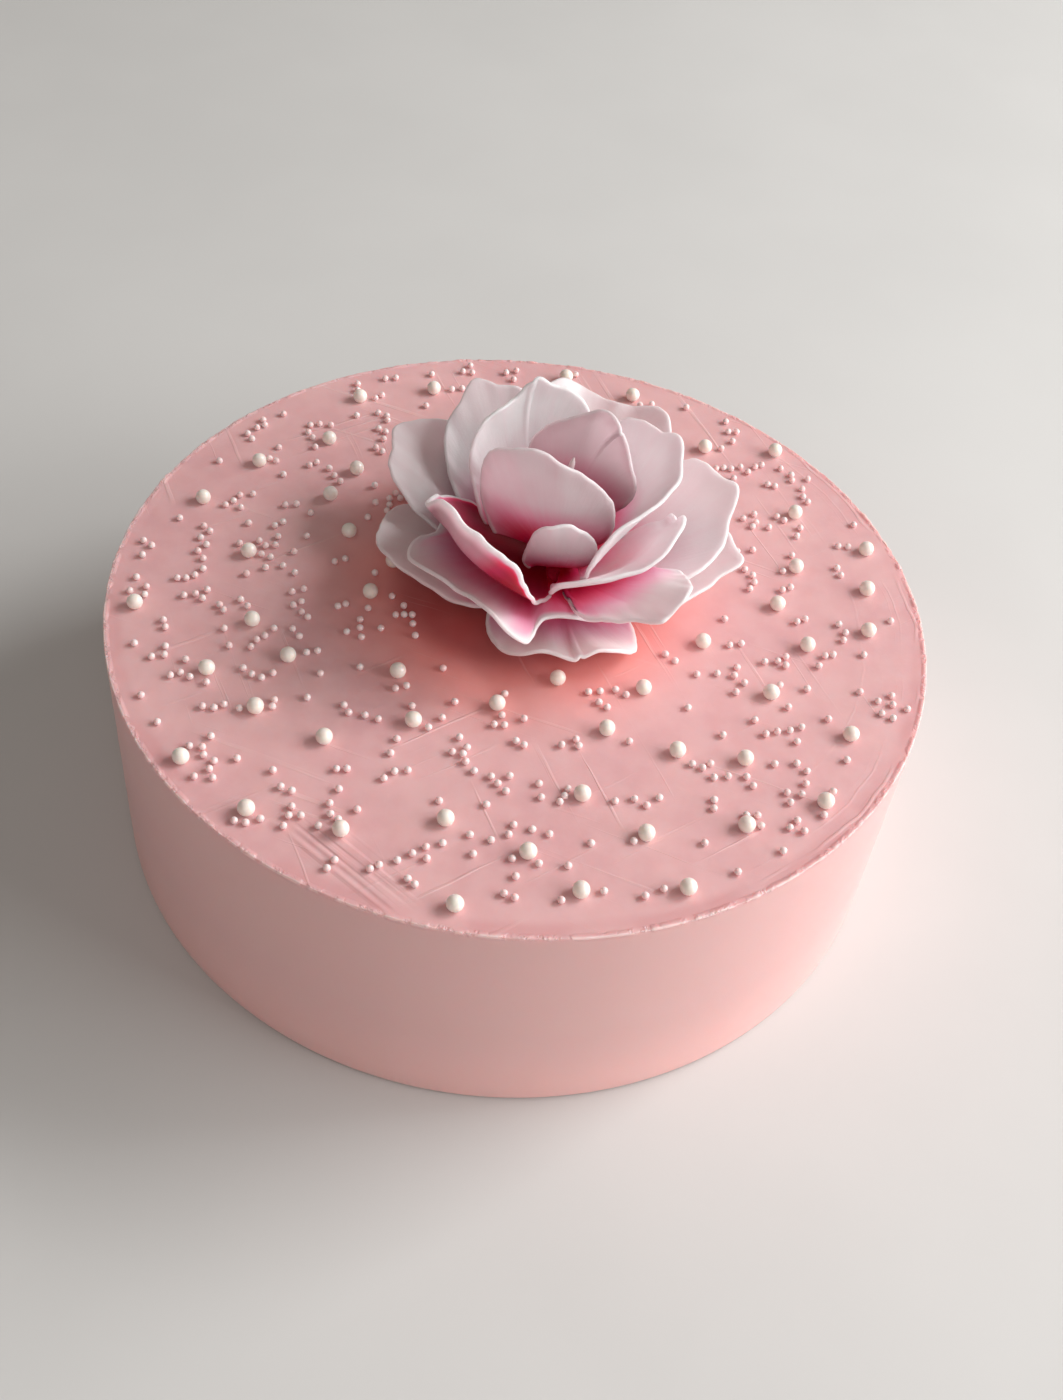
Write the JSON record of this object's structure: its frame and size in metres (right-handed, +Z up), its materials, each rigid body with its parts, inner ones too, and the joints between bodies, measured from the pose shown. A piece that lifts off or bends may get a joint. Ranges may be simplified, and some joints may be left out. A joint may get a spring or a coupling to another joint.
{
  "type": "sugar flower cake",
  "caption": "Round frosted layer cake, uncut, with a large open sugar-paste flower and sugar pearls scattered over its flat top.",
  "frame": {"origin": "centre of the round base, on the surface that the cake stands on", "axes": "+Z up; -Y to the front, where the flower opens towards the viewer; +X to the right seen from the front"},
  "size_m": [0.26, 0.26, 0.1481],
  "materials": {
    "icing": "smooth dusty pink frosting, satin, with fine knife marks",
    "petal_paste": "thin matte sugar paste, pinkish white, dusted crimson towards the flower's heart",
    "heart_paste": "matte sugar paste dusted deep crimson",
    "stamen_paste": "matte white sugar thread",
    "pearl": "pearlescent creamy white sugar coating"
  },
  "bodies": {
    "root": {"cake": "icing", "petal_outer_back_left": "petal_paste", "petal_outer_back": "petal_paste", "petal_outer_right": "petal_paste", "petal_outer_left": "petal_paste", "petal_outer_front": "petal_paste", "petal_second_right": "petal_paste", "petal_second_left": "petal_paste", "petal_second_back": "petal_paste", "petal_second_front_left": "petal_paste", "petal_second_front_right": "petal_paste", "petal_third_left": "petal_paste", "petal_third_front_left": "petal_paste", "petal_third_front_right": "petal_paste", "petal_third_right": "petal_paste", "petal_inner_back_left": "petal_paste", "petal_inner_back_right": "petal_paste", "petal_inner_small": "petal_paste", "petal_inner_front": "petal_paste", "flower_heart": "heart_paste", "stamen": "stamen_paste"}
  },
  "joints": []
}
